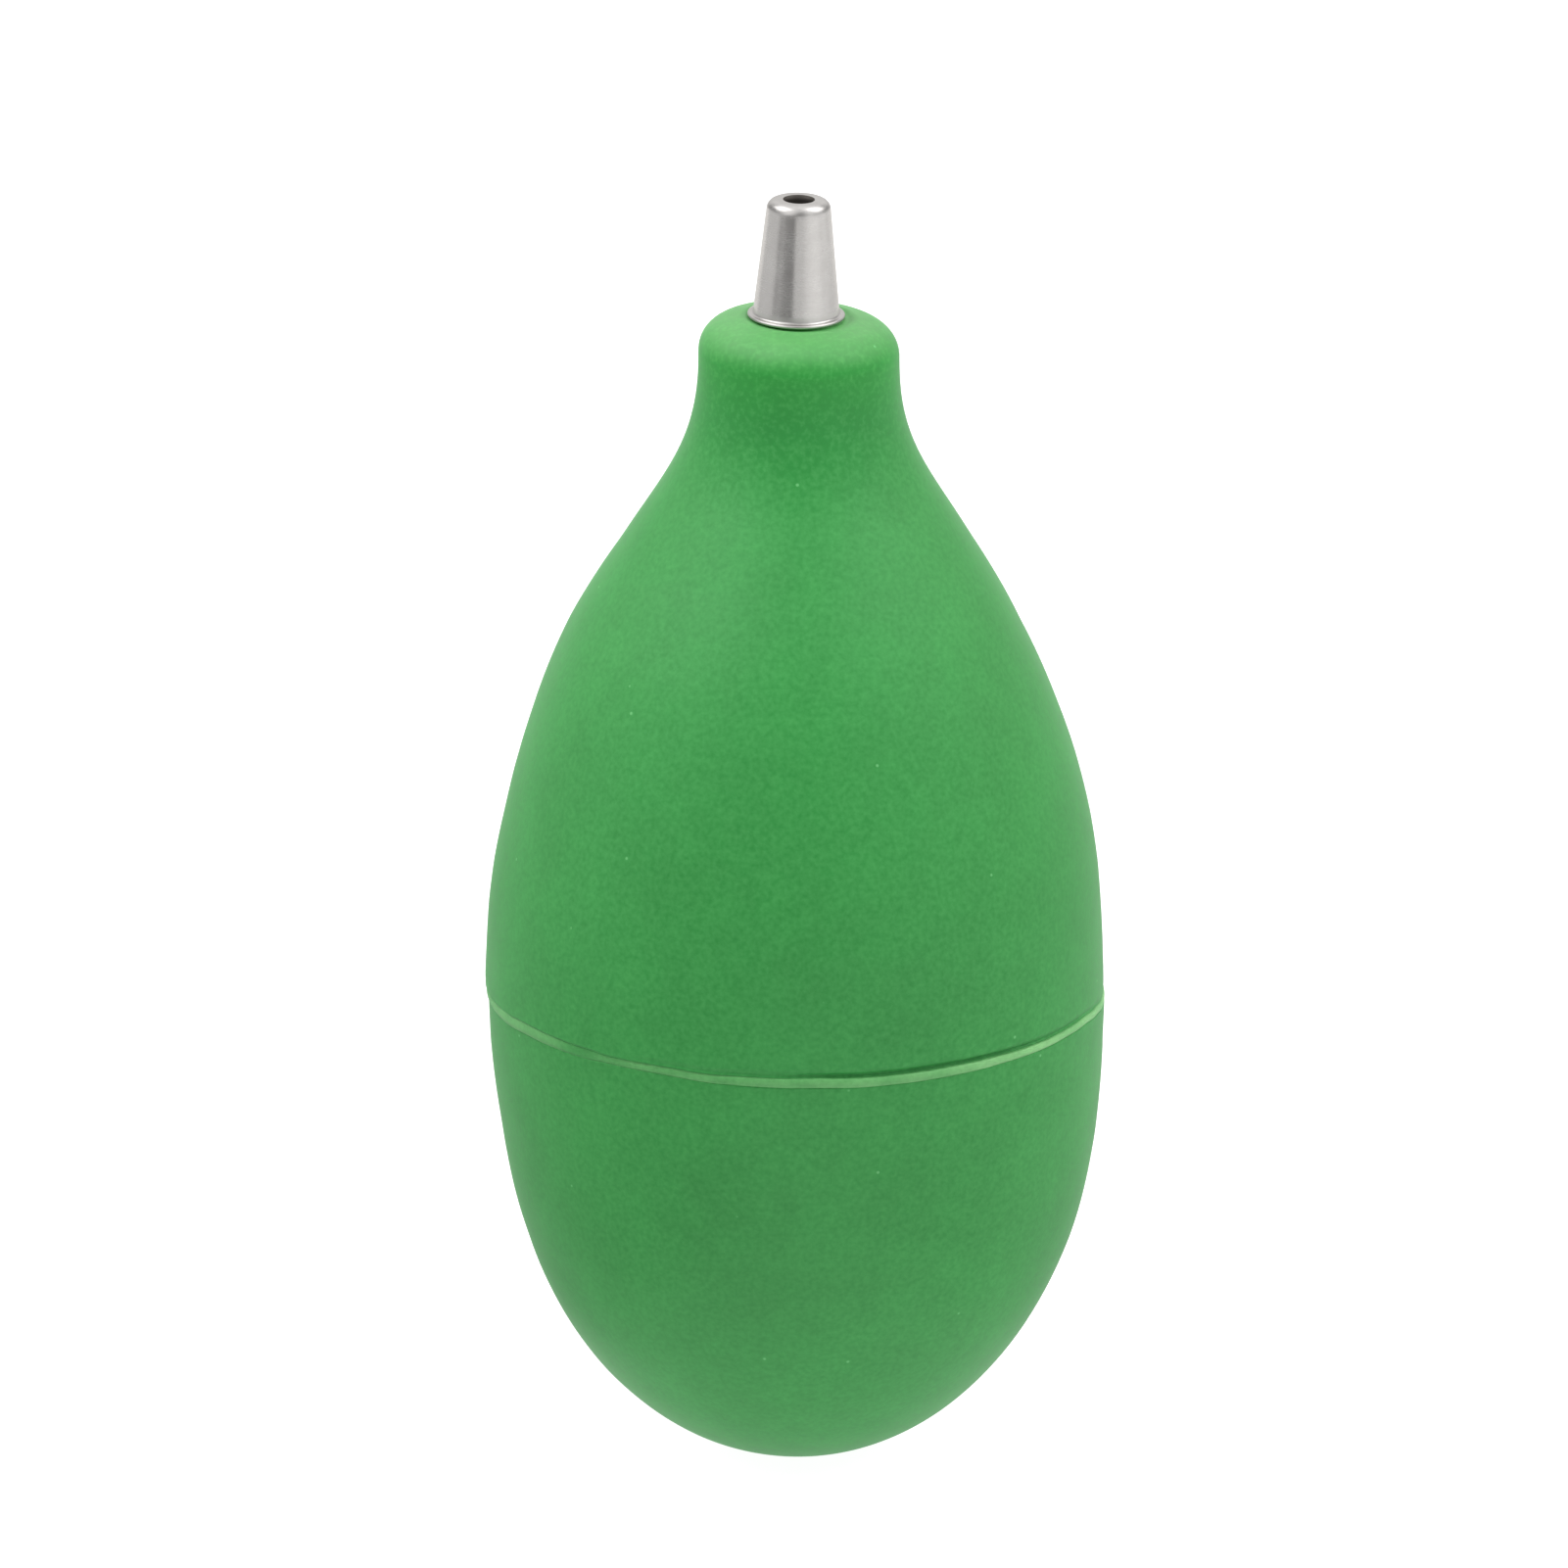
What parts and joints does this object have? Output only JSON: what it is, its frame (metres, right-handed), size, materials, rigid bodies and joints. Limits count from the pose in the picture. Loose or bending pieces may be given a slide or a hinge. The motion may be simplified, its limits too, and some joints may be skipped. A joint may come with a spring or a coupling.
{
  "type": "pipette filler bulb",
  "caption": "Egg-shaped rubber squeeze bulb, nozzle up, with a thick neck, a bonded seam round its widest level and a push-in tapered metal nozzle.",
  "frame": {"origin": "middle of the flat base, on the surface that the bulb stands on", "axes": "+Z along the bulb's axis, out of the nozzle; the bulb is round about Z, so X and Y are arbitrary"},
  "size_m": [0.05, 0.05, 0.1048],
  "materials": {
    "bulb_rubber": "matte moulded rubber with a fine even grain",
    "bond_rubber": "matte cured rubber cement, a little paler than the bulb",
    "nozzle_metal": "satin turned stainless steel"
  },
  "bodies": {
    "base": {"lower_shell": "bulb_rubber", "bond_seam": "bond_rubber"},
    "neck": {"upper_shell": "bulb_rubber"},
    "nozzle": {"nozzle": "nozzle_metal"}
  },
  "joints": [
    {"name": "squeeze", "type": "slide", "parent": "base", "child": "neck", "axis": [0, 0, -1], "range_m": [0, 0.022], "stiffness_N_per_m": 1200, "deforming": ["upper_shell"]},
    {"name": "nozzle_pull", "type": "slide", "parent": "neck", "child": "nozzle", "axis": [0, 0, 1], "range_m": [0, 0.014]}
  ]
}
